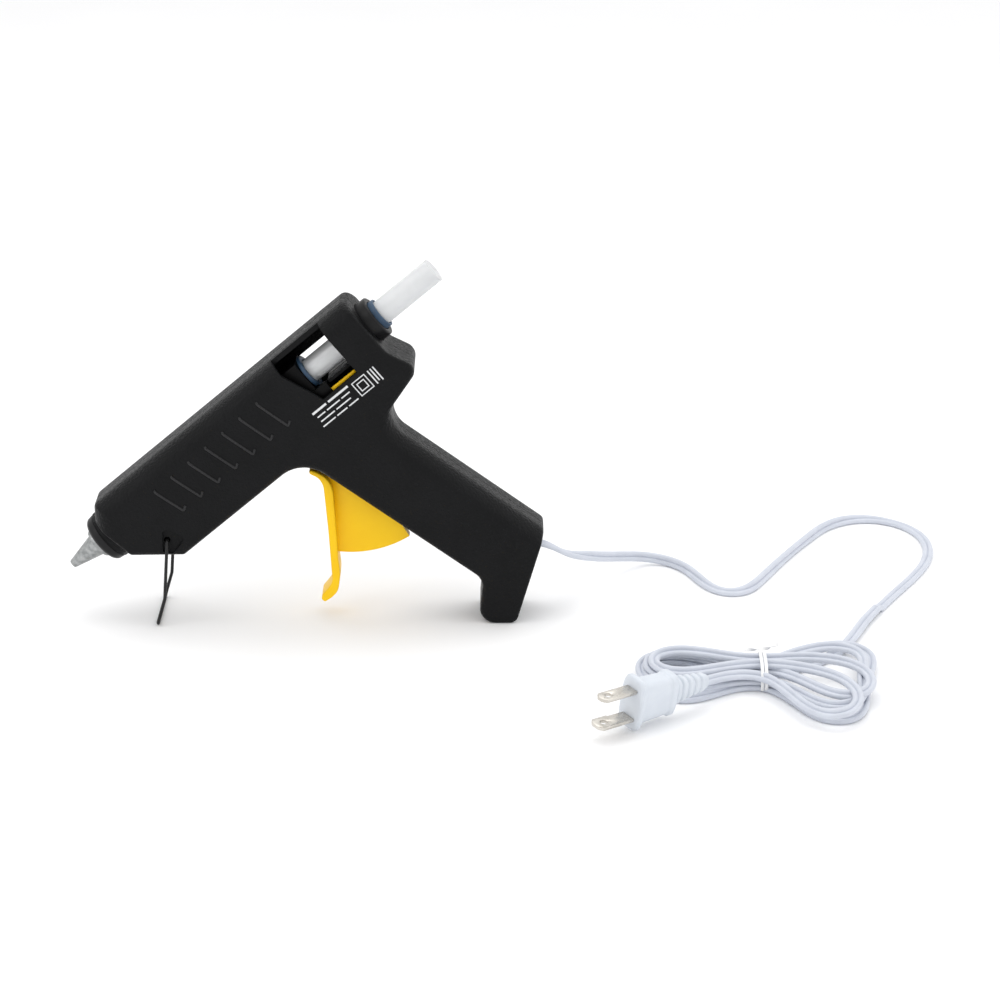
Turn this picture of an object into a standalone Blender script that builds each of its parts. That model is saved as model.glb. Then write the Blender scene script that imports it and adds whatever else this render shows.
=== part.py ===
"""Hot-melt glue gun with a wire stand, a trigger feed and a two-blade plug on a tied cord.

Sizes are in millimetres.  Most pieces are drawn in the barrel frame: x runs back along the
barrel from the nozzle tip, y across, z out of the top of the barrel.
"""
import math

import bmesh
import bpy
from mathutils import Matrix, Vector

MM = 0.001
GAP = 0.3

# The gun stands on its toe and wire stand, which tilts the barrel up by this much.
BARREL_TILT = math.radians(40)
NOZZLE_TIP = Vector((-105.1, 0, 22.7))
BARREL = Matrix.Translation(NOZZLE_TIP * MM) @ Matrix.Rotation(-BARREL_TILT, 4, "Y")
WORLD = Matrix.Identity(4)

HALF_WIDTH = 15.5
WALL = 2.2
BROAD = 9.0
TIGHT = 1.5
SOFT = 3.0
TOE_LENGTH = 16.8
TOE_HEEL = (137.6, -145.0)
TOE_TIP = (
    TOE_HEEL[0] - TOE_LENGTH * math.cos(BARREL_TILT),
    TOE_HEEL[1] + TOE_LENGTH * math.sin(BARREL_TILT),
)
# Corner, fillet in side view, and how round the edge to the next corner is across the body.
SHELL_CORNERS = (
    ((29.0, 16.5), 3.0, BROAD),
    ((175.2, 16.5), 3.0, TIGHT),
    ((175.2, -12.5), 10.0, TIGHT),
    ((181.6, -26.9), 5.0, SOFT),
    ((152.3, -35.2), 13.0, BROAD),
    ((174.2, -120.9), 3.0, TIGHT),
    (TOE_HEEL, 4.0, TIGHT),
    (TOE_TIP, 6.0, SOFT),
    ((139.3, -119.9), 7.0, SOFT),
    ((114.7, -25.8), 15.0, SOFT),
    ((45.4, -25.8), 2.5, SOFT),
    ((27.5, -11.2), 2.0, TIGHT),
    ((24.0, 10.4), 2.0, BROAD),
)
SHELL_DEPTHS = (0.15, 6.5, 11.0, 14.0, 15.1, 15.5)
CAVITY_DEPTHS = (-1.0, 6.5, 11.0, 13.3)

# Viewing window, near side: the front lower corner is cut away on the slant.
WINDOW = ((132.5, 20.0), (133.2, 9.0), (140.4, -10.6), (159.8, -10.6), (159.8, 20.0))
FAR_WINDOW = ((134.5, 5.6), (139.0, -6.4), (159.8, -6.4), (159.8, 5.6))
WINDOW_STRAP = 8.8
RAIL_LENGTH = (119.0, 158.6)
RAIL_HEIGHT = (-11.6, -9.9)
TRIGGER_SLOT = ((108.0, -22.0), (128.0, -22.0), (142.0, -89.0), (118.0, -89.0))

STICK_RADIUS = 5.6
STICK_FRONT = 58.0
STICK_BACK = 212.3
BORE_RADIUS = 6.0

TRIGGER_PIVOT = (131.2, -37.9)
TRIGGER_SWEEP = math.radians(22)
DRIVE_ARM = 26.0
DRIVE_PIN = (
    TRIGGER_PIVOT[0] + DRIVE_ARM * math.sin(TRIGGER_SWEEP / 2),
    TRIGGER_PIVOT[1] + DRIVE_ARM * math.cos(TRIGGER_SWEEP / 2),
)
WEB_RADIUS = 48.6
# Front face from the top lip down to the toe, then back up the rear face.
TRIGGER_PLATE = (
    (111.6, -33.4), (111.0, -34.4), (112.8, -38.8), (112.0, -42.6), (99.8, -60.0), (85.3, -79.6),
    (81.1, -80.7), (77.7, -81.3), (76.1, -82.6), (76.5, -84.5), (80.1, -85.0), (84.1, -84.5),
    (87.0, -82.3), (90.7, -78.7), (94.1, -73.5), (113.6, -47.4), (115.2, -43.8), (115.4, -40.1),
    (114.3, -36.7), (112.6, -33.4),
)

STAND_PIVOT = (44.5, -15.6)
STAND_WIRE = 0.75
STAND_FOOT = Vector((-66.0, 18.5, STAND_WIRE))
STAND_KNEE = Vector((-62.7, 16.9, 12.5))
STAND_LEG_Y = 16.55

SCREW_SPOTS = ((58.0, -19.4), (98.0, -19.0), (168.5, -21.5), (149.5, -74.0), (147.5, -129.0))

CORD_RADIUS = 2.4
CORD_EXIT = Vector((167.7, 0, -125.7))
EXIT_TURN = math.radians(55.15)
EXIT = BARREL @ Matrix.Translation(CORD_EXIT * MM) @ Matrix.Rotation(EXIT_TURN, 4, "Y")
CORD_PATH = (
    (82.9, 0, 39.8), (96.4, 0, 36.2), (104.1, 0, 34.1), (107.6, 0.8, 32.8), (111, 4.4, 29.6),
    (116, 12, 24.2), (123.4, 22.6, 18.6), (132.4, 35, 13.2), (142, 48, 8.4), (152.4, 58.6, 4.4),
    (163, 59, 2.6), (172, 49.5, 2.4), (177.4, 37, 2.4), (182, 26.6, 2.4), (186.6, 20.8, 2.4),
    (192.6, 18.4, 2.4), (198.6, 21, 2.4), (203, 27.4, 2.4), (209.4, 41, 2.4), (220.6, 65, 2.4),
    (232.4, 88, 2.4), (242, 104.5, 2.4), (253.4, 115, 2.4), (266.4, 117.6, 2.4),
    (278.6, 111, 2.4), (286.6, 97, 2.4), (288.6, 79.5, 2.4), (285.4, 60.5, 2.4),
    (277.4, 40.6, 2.4), (265, 16.5, 2.4), (250.6, -13, 2.4), (241.6, -36, 2.4),
    (238.3, -43.6, 2.4),
)
# Two of its edges face the cord and the plug squarely.
HANK_OUTLINE = (
    (144.6, -86), (144.6, -74), (148, -64.5), (157, -59.5), (170, -61.5), (184, -69.5),
    (191, -74.5), (198, -77), (205, -72.5), (213, -63.5), (226, -50.5), (234.5, -42.3),
    (241.8, -45.5), (247.5, -52), (249.5, -62), (247, -76), (244.6, -96), (243.5, -108),
    (240, -121), (233, -133), (224, -137.5), (215, -133), (209, -122), (205, -107),
    (200.6, -94.2), (190, -94.2), (184, -97), (174.8, -109.8), (170.5, -104.7), (163, -107.8),
    (155, -105.5), (148, -98),
)
HANK_HEIGHTS = (1.2, 11.6)
TIE_X = 198.0
TIE_WIDTH = 3.0
TIE_THICKNESS = 0.7
TIE_FRONT = -96.6
TIE_BACK = -73.6
TIE_TOP = 12.7

PLUG = (
    Matrix.Translation(Vector((139.6, -135.6, 12.9)) * MM)
    @ Matrix.Rotation(math.radians(40), 4, "Z")
    @ Matrix.Rotation(math.radians(2), 4, "Y")
    @ Matrix.Rotation(math.radians(10), 4, "X")
)
# Distance back from the face, width across, height.
PLUG_SECTIONS = (
    (0.0, 12.0, 22.0), (0.6, 13.6, 23.8), (2.2, 13.6, 23.8), (2.9, 10.6, 19.5), (17.7, 10.2, 17.8),
    (18.4, 11.4, 19.0), (21.6, 11.2, 18.6), (22.2, 8.6, 12.4), (42.4, 6.6, 7.4),
)
BLADE_SPACING = 12.7
BLADE_LENGTH = 18.2

COLOURS = {
    "black_abs": (0.016, 0.017, 0.019, 1),
    "yellow": (0.93, 0.60, 0.02, 1),
    "aluminium": (0.55, 0.56, 0.56, 1),
    "steel": (0.45, 0.45, 0.46, 1),
    "nickel": (0.60, 0.56, 0.50, 1),
    "blue_silicone": (0.06, 0.14, 0.26, 1),
    "glue": (0.85, 0.86, 0.87, 1),
    "white_pvc": (0.80, 0.84, 0.90, 1),
    "ceramic": (0.70, 0.66, 0.60, 1),
}


def clear_scene():
    for item in list(bpy.data.objects):
        bpy.data.objects.remove(item)


def new_collection(name, hidden=False):
    group = bpy.data.collections.new(name)
    bpy.context.scene.collection.children.link(group)
    group.hide_render = hidden
    return group


def material(name, colour):
    skin = bpy.data.materials.new(name)
    skin.use_nodes = True
    shader = skin.node_tree.nodes["Principled BSDF"]
    shader.inputs["Base Color"].default_value = COLOURS[colour]
    shader.inputs["Roughness"].default_value = 0.5
    shader.inputs["Metallic"].default_value = float(colour in ("aluminium", "steel", "nickel"))
    return skin


def to_object(name, shape, frame, pivot):
    """Turn a bmesh in millimetres into an object whose origin sits at pivot in frame."""
    mesh = bpy.data.meshes.new(name)
    bmesh.ops.recalc_face_normals(shape, faces=shape.faces)
    if shape.calc_volume(signed=True) < 0:
        bmesh.ops.reverse_faces(shape, faces=shape.faces)
    shape.transform(Matrix.Scale(MM, 4) @ Matrix.Translation(-Vector(pivot)))
    shape.to_mesh(mesh)
    shape.free()
    item = bpy.data.objects.new(name, mesh)
    item.matrix_world = frame @ Matrix.Translation(Vector(pivot) * MM)
    return item


def part(name, shape, colour, frame=BARREL, pivot=(0, 0, 0), smooth=False):
    """Add one piece of the gun."""
    item = to_object(name, shape, frame, pivot)
    item.data.materials.append(material(f"{name}_{colour}", colour))
    PARTS.objects.link(item)
    if smooth:
        item.data.shade_smooth()
        item.data.set_sharp_from_angle(angle=math.radians(40))
    return item


def combine(target, operation, shape, name, frame=BARREL):
    """Join a shape to a piece, or cut it away, and leave the step editable."""
    tool = to_object(f"{target.name}_{name}", shape, frame, (0, 0, 0))
    tool.display_type = "WIRE"
    tool.hide_render = True
    CUTTERS.objects.link(tool)
    step = target.modifiers.new(name, "BOOLEAN")
    step.operation = operation
    step.solver = "EXACT"
    step.object = tool


def join(target, shape, name, frame=BARREL):
    combine(target, "UNION", shape, name, frame)


def cut(target, shape, name, frame=BARREL):
    combine(target, "DIFFERENCE", shape, name, frame)


def prism(outline, low, high):
    """Side outline drawn in x and z, pushed across from y = low to y = high."""
    shape = bmesh.new()
    face = shape.faces.new([shape.verts.new((x, low, z)) for x, z in outline])
    pushed = bmesh.ops.extrude_face_region(shape, geom=[face])
    moved = [item for item in pushed["geom"] if isinstance(item, bmesh.types.BMVert)]
    bmesh.ops.translate(shape, verts=moved, vec=(0, high - low, 0))
    return shape


def slab(outline, low, high):
    """Plan outline drawn in x and y, pushed up from z = low to z = high."""
    shape = prism(outline, -high, -low)
    shape.transform(Matrix.Rotation(-math.pi / 2, 4, "X"))
    return shape


def box(x, y, z):
    """Block from (low, high) spans."""
    return prism(((x[0], z[0]), (x[1], z[0]), (x[1], z[1]), (x[0], z[1])), *y)


def turned(profile, segments=24):
    """Profile of (x, radius) points spun about the x axis; a closed loop leaves a bore."""
    shape = bmesh.new()
    points = [shape.verts.new((x, 0, radius)) for x, radius in profile]
    edges = [shape.edges.new(pair) for pair in zip(points, points[1:])]
    if min(radius for _, radius in profile) > 0:
        edges.append(shape.edges.new((points[-1], points[0])))
    bmesh.ops.spin(
        shape, geom=points + edges, axis=(1, 0, 0), cent=(0, 0, 0),
        angle=math.tau, steps=segments, use_merge=True,
    )
    bmesh.ops.remove_doubles(shape, verts=shape.verts, dist=0.001)
    return shape


def rod(start, end, radius, segments=16):
    """Plain round bar between two points."""
    start = Vector(start)
    along = Vector(end) - start
    shape = turned(((0, 0), (0, radius), (along.length, radius), (along.length, 0)), segments)
    turn = Vector((1, 0, 0)).rotation_difference(along).to_matrix().to_4x4()
    shape.transform(Matrix.Translation(start) @ turn)
    return shape


def merged(shapes):
    """Several shapes as one."""
    whole = bmesh.new()
    for shape in shapes:
        mesh = bpy.data.meshes.new("merged")
        shape.to_mesh(mesh)
        shape.free()
        whole.from_mesh(mesh)
        bpy.data.meshes.remove(mesh)
    return whole


def ring(x_low, x_high, inner, outer, segments=24):
    return turned(((x_low, inner), (x_low, outer), (x_high, outer), (x_high, inner)), segments)


def wire(points, radius, cyclic=False):
    """Round wire through the points, as a closed mesh."""
    curve = bpy.data.curves.new("wire", "CURVE")
    curve.dimensions = "3D"
    curve.bevel_depth = radius
    curve.bevel_resolution = 2
    curve.use_fill_caps = True
    spline = curve.splines.new("POLY")
    spline.points.add(len(points) - 1)
    for spot, point in zip(spline.points, points):
        spot.co = (*point, 1)
    spline.use_cyclic_u = cyclic
    holder = bpy.data.objects.new("wire", curve)
    PARTS.objects.link(holder)
    bpy.context.view_layer.update()
    mesh = bpy.data.meshes.new_from_object(
        holder.evaluated_get(bpy.context.evaluated_depsgraph_get())
    )
    shape = bmesh.new()
    shape.from_mesh(mesh)
    bmesh.ops.remove_doubles(shape, verts=shape.verts, dist=0.001)
    bpy.data.objects.remove(holder)
    return shape


def spring(x_low, x_high, radius, turns, wire_radius, steps=9):
    """Compression spring along the barrel axis."""
    count = turns * steps
    points = [
        (
            x_low + (x_high - x_low) * step / count,
            radius * math.cos(math.tau * step / steps),
            radius * math.sin(math.tau * step / steps),
        )
        for step in range(count + 1)
    ]
    return wire(points, wire_radius)


def smooth_path(points, steps=3):
    """Points along a curve that passes through every given point."""
    knots = [Vector(point) for point in points]
    knots = [2 * knots[0] - knots[1], *knots, 2 * knots[-1] - knots[-2]]
    path = []
    for before, start, end, after in zip(knots, knots[1:], knots[2:], knots[3:]):
        for step in range(steps):
            t = step / steps
            path.append(0.5 * (
                2 * start + (end - before) * t
                + (2 * before - 5 * start + 4 * end - after) * t ** 2
                + (3 * start - before - 3 * end + after) * t ** 3
            ))
    return [*path, knots[-2]]


def loft(rings):
    """Skin over rings of equal point count, closed at both ends."""
    shape = bmesh.new()
    loops = [[shape.verts.new(point) for point in points] for points in rings]
    for first, second in zip(loops, loops[1:]):
        for index in range(len(first)):
            after = (index + 1) % len(first)
            shape.faces.new((first[index], first[after], second[after], second[index]))
    shape.faces.new(loops[0])
    shape.faces.new(loops[-1])
    return shape


def fillet(corner, back, ahead, radius, steps):
    """Arc points that round one corner; back and ahead are unit vectors along its edges."""
    middle = back + ahead
    half = back.angle(ahead) / 2
    centre = corner + middle.normalized() * radius / math.sin(half)
    start = corner + back * radius / math.tan(half) - centre
    end = corner + ahead * radius / math.tan(half) - centre
    sweep = start.angle_signed(end)
    return [
        centre + Matrix.Rotation(-sweep * step / steps, 2) @ start
        for step in range(steps + 1)
    ]


def edge_inset(depth, half_width, radius):
    """How far a rounded edge has pulled in at this depth from the middle of the body."""
    past = depth - (half_width - radius)
    if past <= 0:
        return 0.0
    return radius - math.sqrt(max(radius ** 2 - past ** 2, 0))


def shell_outline(depth, wall):
    """Side outline of the body at one depth, kept wall inside its outer skin."""
    count = len(SHELL_CORNERS)
    corners = [Vector(corner) for corner, _, _ in SHELL_CORNERS]
    lines = []
    for index, (_, _, across) in enumerate(SHELL_CORNERS):
        along = (corners[(index + 1) % count] - corners[index]).normalized()
        inward = Vector((along.y, -along.x))
        inset = wall + edge_inset(depth, HALF_WIDTH - wall, max(across - wall, 0.5))
        lines.append((corners[index] + inward * inset, along, inset))
    outline = []
    for index, (_, radius, _) in enumerate(SHELL_CORNERS):
        point, back, inset = lines[index - 1]
        base, ahead, other_inset = lines[index]
        turn = back.x * ahead.y - back.y * ahead.x
        offset = base - point
        corner = point + back * (offset.x * ahead.y - offset.y * ahead.x) / turn
        shrink = min(inset, other_inset) * (1 if turn < 0 else -1)
        steps = 2 if radius < 5 else 4
        outline += fillet(corner, -back, ahead, max(radius - shrink, 0.5), steps)
    return outline


def body_loft(side, depths, wall):
    return loft([
        [(x, side * depth, z) for x, z in shell_outline(depth, wall)] for depth in depths
    ])


def across(low, high, spot, radius, side, segments=12):
    """Round bar running across the body on one side of it."""
    return rod((spot[0], side * low, spot[1]), (spot[0], side * high, spot[1]), radius, segments)


def housing(name, side):
    """One moulded half of the body; side is -1 on the left and 1 on the right."""
    shell = part(name, body_loft(side, SHELL_DEPTHS, 0), "black_abs", smooth=True)
    join(shell, half_bar(side, 22.4, 34.0, 11.8), "nose")
    cut(shell, body_loft(side, CAVITY_DEPTHS, WALL), "cavity")
    cut(shell, turned(((15, 0), (15, 10.1), (35, 10.1), (35, 0))), "nose_bore")
    cut(shell, turned(((165, 0), (165, 10.1), (182, 10.1), (182, 0))), "rear_bore")
    posts = [across(0.15, HALF_WIDTH - 0.8, spot, 4.2, side) for spot in SCREW_SPOTS]
    join(shell, merged(posts), "posts")
    join(shell, across(7.4, HALF_WIDTH - 0.8, TRIGGER_PIVOT, 4.4, side), "pivot_boss")
    cut(shell, across(7.0, 13.6, TRIGGER_PIVOT, 2.3, side), "pivot_bore")
    cut(shell, merged([screw_bore(spot, side) for spot in SCREW_SPOTS]), "screw_bores")
    window = WINDOW if side < 0 else FAR_WINDOW
    cut(shell, prism(window, *sorted((side * WINDOW_STRAP, side * 20))), "window")
    join(shell, box((160.4, 164.6), sorted((side * 0.3, side * 14.2)), (-8.2, -6.4)), "shelf_root")
    join(shell, box((146, 162), sorted((side * 0.5, side * 8.2)), (-8.0, -6.6)), "stick_shelf")
    cut(shell, prism(TRIGGER_SLOT, *sorted((-side, side * 3.4))), "trigger_slot")
    cut(shell, rod((-12, 0, 0), (6, 0, 0), 4.3), "cord_exit", EXIT)
    cut(shell, across(14.1, 20, STAND_PIVOT, 5.0, side), "stand_pocket")
    cut(shell, across(8, 16, STAND_PIVOT, 1.1, side), "stand_hole")
    return shell


def screw_bore(spot, side):
    """Blind bore on the left; through bore with a seat for the head on the right."""
    ends = ((10.5, 1.6), (10.5, 0)) if side < 0 else ((12.6, 1.6), (12.6, 3.2), (20, 3.2), (20, 0))
    bore = turned(((-1, 0), (-1, 1.6), *ends), 14)
    turn = Matrix.Rotation(side * math.pi / 2, 4, "Z")
    bore.transform(Matrix.Translation((spot[0], 0, spot[1])) @ turn)
    return bore


def half_bar(side, x_low, x_high, radius, steps=10):
    """Half of a round bar along the barrel, flat on the parting plane."""
    profile = [
        (side * (0.15 + radius * math.sin(math.pi * step / steps)),
         radius * math.cos(math.pi * step / steps))
        for step in range(steps + 1)
    ]
    return loft([[(x, y, z) for y, z in profile] for x in (x_low, x_high)])


def melt_parts():
    """Nozzle, check valve and the heated chamber behind them."""
    part("nose_ring", turned((
        (17.8, 8.0), (17.8, 10.2), (19.0, 11.2), (22.1, 11.6), (22.1, 9.8), (30.0, 9.8),
        (30.0, 8.6), (21.0, 8.6), (21.0, 8.0),
    ), 28), "black_abs", smooth=True)
    part("nozzle", turned((
        (0.0, 0.8), (0.0, 1.9), (15.0, 5.35), (15.4, 7.0), (17.6, 7.0), (17.6, 4.4), (30.5, 4.4),
        (30.5, 2.7), (20.0, 2.7), (18.5, 0.8),
    )), "aluminium", smooth=True)
    part("valve_spring", spring(20.7, 24.3, 2.0, 3, 0.22), "steel", smooth=True)
    ball = bmesh.new()
    bmesh.ops.create_uvsphere(ball, u_segments=16, v_segments=10, radius=2.2)
    bmesh.ops.translate(ball, verts=ball.verts, vec=(27.0, 0, 0))
    part("valve_ball", ball, "steel", pivot=(27.0, 0, 0), smooth=True)
    chamber = part("melt_chamber", turned((
        (23.5, 4.8), (23.5, 8.0), (88.0, 8.0), (88.0, 10.2), (90.0, 10.2), (90.0, 7.6),
        (96.0, 7.6), (96.0, BORE_RADIUS), (44.0, BORE_RADIUS), (36.0, 1.6), (31.0, 1.6),
        (31.0, 4.8),
    )), "aluminium", smooth=True)
    join(chamber, box((52, 84), (-7, 7), (-14.6, -6.6)), "heater_pocket")
    cut(chamber, box((50, 86), (-5.3, 5.3), (-12.7, -9.3)), "heater_slot")
    part("heater_element", box((54, 82), (-4.9, 4.9), (-12.3, -9.7)), "ceramic")
    part("heater_clip", prism((
        (64, -14.9), (76, -14.9), (76, -15.5), (64, -15.5),
    ), -7.9, 7.9), "steel")
    part("inlet_sleeve", ring(90.4, 110.0, 8.0, 9.6), "blue_silicone", smooth=True)
    part("sleeve_clamp", ring(92.5, 94.5, 9.9, 10.6), "steel", smooth=True)


def feed_parts():
    """Stick, the carriage that pushes it, its guide rails and return spring."""
    part("glue_stick", turned((
        (STICK_FRONT, 0), (STICK_FRONT, STICK_RADIUS - 0.4), (STICK_FRONT + 0.4, STICK_RADIUS),
        (STICK_BACK - 0.3, STICK_RADIUS), (STICK_BACK, STICK_RADIUS - 0.3), (STICK_BACK, 0),
    ), 28), "glue", smooth=True)
    carriage = part("carriage", box((128, 139.4), (-8.4, 8.4), (-8.8, 8.0)), "black_abs")
    slot = DRIVE_PIN[0]
    tab = ((slot - 4, -8.5), (slot - 4, -15.6), (slot - 1.9, -15.6), (slot - 1.9, -10.2),
           (slot + 1.9, -10.2), (slot + 1.9, -15.6), (slot + 4, -15.6), (slot + 4, -8.5))
    join(carriage, prism(tab, -3.4, 3.4), "drive_fork")
    cut(carriage, rod((120, 0, 0), (145, 0, 0), BORE_RADIUS, 24), "stick_bore")
    for side in (-1, 1):
        join(carriage, box((130, 145.4), sorted((side * 8.0, side * 11.3)), (-12.7, -6.0)),
             f"shoe_{side}")
        cut(carriage, box((129, 146.4), sorted((side * 8.5, side * 10.7)), (-11.9, -9.6)),
            f"shoe_slot_{side}")
    part("grip_ring", ring(139.7, 141.4, 5.9, 8.2), "blue_silicone", smooth=True)
    for name, side in (("feed_rail_left", -1), ("feed_rail_right", 1)):
        part(name, box(RAIL_LENGTH, sorted((side * 8.8, side * 10.4)), RAIL_HEIGHT), "yellow")
    part("return_spring", spring(111.0, 127.5, 7.4, 4, 0.45), "steel", smooth=True)
    part("rear_collar", turned((
        (166.0, 7.3), (166.0, 9.8), (179.6, 9.8), (180.4, 9.0), (180.4, 7.3),
    ), 28), "black_abs", smooth=True)
    part("rear_insert", ring(168.0, 182.6, 5.95, 7.0), "blue_silicone", smooth=True)


def trigger_parts():
    """Trigger with its web, hub and drive fork, and the two pins it turns and pulls on."""
    pivot = (TRIGGER_PIVOT[0], 0, TRIGGER_PIVOT[1])
    trigger = part("trigger", prism(TRIGGER_PLATE, -7.2, 7.2), "yellow", pivot=pivot)
    join(trigger, prism(web_outline(), -2.6, 2.6), "web")
    join(trigger, across(-6.4, 6.4, TRIGGER_PIVOT, 5.0, 1, 20), "hub")
    reach = Vector(DRIVE_PIN) - Vector(TRIGGER_PIVOT)
    beside = Vector((-reach.y, reach.x)).normalized() * 3.2
    tip = Vector(DRIVE_PIN) + reach.normalized() * 2.4
    arm = [Vector(TRIGGER_PIVOT) - beside, tip - beside, tip + beside, Vector(TRIGGER_PIVOT) + beside]
    for side in (-1, 1):
        join(trigger, prism(arm, *sorted((side * 3.9, side * 6.2))), f"drive_arm_{side}")
    cut(trigger, across(-8, 8, TRIGGER_PIVOT, 2.3, 1, 20), "pivot_bore")
    cut(trigger, across(-8, 8, DRIVE_PIN, 1.8, 1), "drive_bore")
    part("trigger_pin", across(-12.8, 12.8, TRIGGER_PIVOT, 2.0, 1, 20), "steel", smooth=True)
    part("drive_pin", across(-6.2, 6.2, DRIVE_PIN, 1.5, 1), "steel", smooth=True)


def web_outline():
    """Fan-shaped web behind the trigger plate, struck from the trigger pivot."""
    centre = Vector(TRIGGER_PIVOT)
    arc = [
        centre + WEB_RADIUS * Vector((math.cos(angle), math.sin(angle)))
        for angle in (math.radians(-138 + 40.5 * step / 8) for step in range(9))
    ]
    return [(114.0, -41.5), (111.5, -47.0), *arc, TRIGGER_PIVOT]


def stand_parts():
    """Bent wire foot that swings on holes in both sides of the barrel."""
    to_world = BARREL @ (Vector((STAND_PIVOT[0], 0, STAND_PIVOT[1])) * MM) / MM
    half = [
        to_world + Vector((0, 9.5, 0)), to_world + Vector((0, STAND_LEG_Y - 0.8, 0)),
        to_world + Vector((0, STAND_LEG_Y, -1.0)), STAND_KNEE, STAND_FOOT,
    ]
    mirrored = [Vector((point.x, -point.y, point.z)) for point in reversed(half)]
    part("wire_stand", wire([*half, *mirrored], STAND_WIRE), "steel", frame=WORLD,
         pivot=to_world, smooth=True)


def fasteners():
    for number, spot in enumerate(SCREW_SPOTS, 1):
        screw = turned(((0, 0), (0, 1.25), (20.9, 1.25), (20.9, 2.8), (22.3, 2.8), (22.7, 2.2),
                        (22.7, 0)), 16)
        screw.transform(
            Matrix.Translation((spot[0], -8.0, spot[1])) @ Matrix.Rotation(math.pi / 2, 4, "Z")
        )
        part(f"body_screw_{number}", screw, "steel", smooth=True)


def wiring():
    """Cord clamp, splices and leads inside the handle."""
    part("cord_grommet", ring(-3.6, -0.6, 2.9, 4.0, 20), "black_abs", EXIT, smooth=True)
    clamp = part("cord_clamp", box((-19, -13), (-9, 9), (-6.0, -3.0)), "black_abs", EXIT)
    for number, side in enumerate((-1, 1), 1):
        hole = rod((-16, side * 6.5, -8), (-16, side * 6.5, 0), 1.3, 12)
        cut(clamp, hole, f"hole_{number}", EXIT)
        screw = turned(((0, 0), (0, 1.9), (1.6, 1.9), (1.6, 1.0), (7.6, 1.0), (7.6, 0)), 12)
        screw.transform(
            Matrix.Translation((-16, side * 6.5, -7.9)) @ Matrix.Rotation(-math.pi / 2, 4, "Y")
        )
        part(f"clamp_screw_{number}", screw, "steel", EXIT, smooth=True)
    for name, side in (("line", -1), ("neutral", 1)):
        part(f"splice_{name}", rod((155, side * 5.5, -100), (153.5, side * 7, -90), 3.0), "glue",
             smooth=True)
        route = (
            (153.4, side * 7.2, -87.6), (155.4, side * 10, -77), (152.4, side * 10, -66),
            (146.5, side * 10, -54), (143, side * 10.4, -38), (136, side * 10.4, -20),
            (122, side * 10.2, -14.6), (104, side * 9.6, -13.2), (92, side * 6.5, -12.4),
            (84.5, side * 3.6, -11.2),
        )
        part(f"lead_{name}", wire(smooth_path(route, 2), 0.8), "white_pvc", smooth=True)


def cord_parts():
    """Mains cord, its tied hank and the plug."""
    part("power_cord", wire(smooth_path(CORD_PATH), CORD_RADIUS), "white_pvc", WORLD, smooth=True)
    part("cord_hank", slab(HANK_OUTLINE, *HANK_HEIGHTS), "white_pvc", WORLD)
    low, high = TIE_X - TIE_WIDTH / 2, TIE_X + TIE_WIDTH / 2
    tie = part("cord_tie", box((low, high), (TIE_FRONT, TIE_BACK), (0.15, TIE_TOP)),
               "white_pvc", WORLD)
    cut(tie, box((low - 1, high + 1), (TIE_FRONT + TIE_THICKNESS, TIE_BACK - TIE_THICKNESS),
                 (0.15 + TIE_THICKNESS, TIE_TOP - TIE_THICKNESS)), "opening", WORLD)
    part("plug_body", loft([rounded_section(*section) for section in PLUG_SECTIONS]),
         "white_pvc", PLUG, smooth=True)
    for name, place, width in (("narrow", 0.5, 6.35), ("wide", -0.5, 7.9)):
        middle = place * BLADE_SPACING
        blade = part(f"plug_blade_{name}", box(
            (-BLADE_LENGTH, -GAP), (-width / 2, width / 2), (middle - 0.75, middle + 0.75),
        ), "nickel", PLUG)
        hole = rod((-13.4, 0, middle - 2), (-13.4, 0, middle + 2), 1.6, 16)
        cut(blade, hole, "hole", PLUG)


def rounded_section(x, width, height, steps=3):
    """Rounded rectangle across the plug."""
    radius = 0.32 * min(width, height)
    points = []
    for quarter, (side, up) in enumerate(((1, 1), (-1, 1), (-1, -1), (1, -1))):
        for step in range(steps + 1):
            angle = math.pi / 2 * (quarter + step / steps)
            points.append((
                x,
                side * (width / 2 - radius) + radius * math.cos(angle),
                up * (height / 2 - radius) + radius * math.sin(angle),
            ))
    return points


clear_scene()
PARTS = new_collection("glue_gun")
CUTTERS = new_collection("cutters", hidden=True)
housing("housing_left", -1)
housing("housing_right", 1)
melt_parts()
feed_parts()
trigger_parts()
stand_parts()
fasteners()
wiring()
cord_parts()
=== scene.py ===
"""Studio look of a hot-melt glue gun on its wire stand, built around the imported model.

Sizes are in millimetres and drawn in the barrel frame: x runs back along the barrel from the
nozzle tip, y across, z out of the top of the barrel.  World sizes are marked as such.
"""
import math

import bmesh
import bpy
from mathutils import Matrix, Vector


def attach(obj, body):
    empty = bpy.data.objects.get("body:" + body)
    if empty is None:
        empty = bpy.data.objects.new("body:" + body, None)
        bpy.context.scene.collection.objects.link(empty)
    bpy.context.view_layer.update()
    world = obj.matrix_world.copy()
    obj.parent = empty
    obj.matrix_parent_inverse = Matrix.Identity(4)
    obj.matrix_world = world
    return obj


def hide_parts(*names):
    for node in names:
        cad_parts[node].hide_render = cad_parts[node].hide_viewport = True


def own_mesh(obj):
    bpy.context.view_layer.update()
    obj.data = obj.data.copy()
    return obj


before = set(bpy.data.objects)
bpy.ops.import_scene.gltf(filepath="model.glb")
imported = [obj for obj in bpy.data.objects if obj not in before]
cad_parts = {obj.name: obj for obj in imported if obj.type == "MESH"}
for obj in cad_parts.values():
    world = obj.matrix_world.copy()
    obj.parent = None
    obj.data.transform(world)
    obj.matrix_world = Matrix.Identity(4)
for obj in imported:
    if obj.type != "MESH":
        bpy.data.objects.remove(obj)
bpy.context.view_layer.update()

MM = 0.001
BARREL_TILT = math.radians(40)
NOZZLE_TIP = Vector((-105.1, 0, 22.7))
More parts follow.
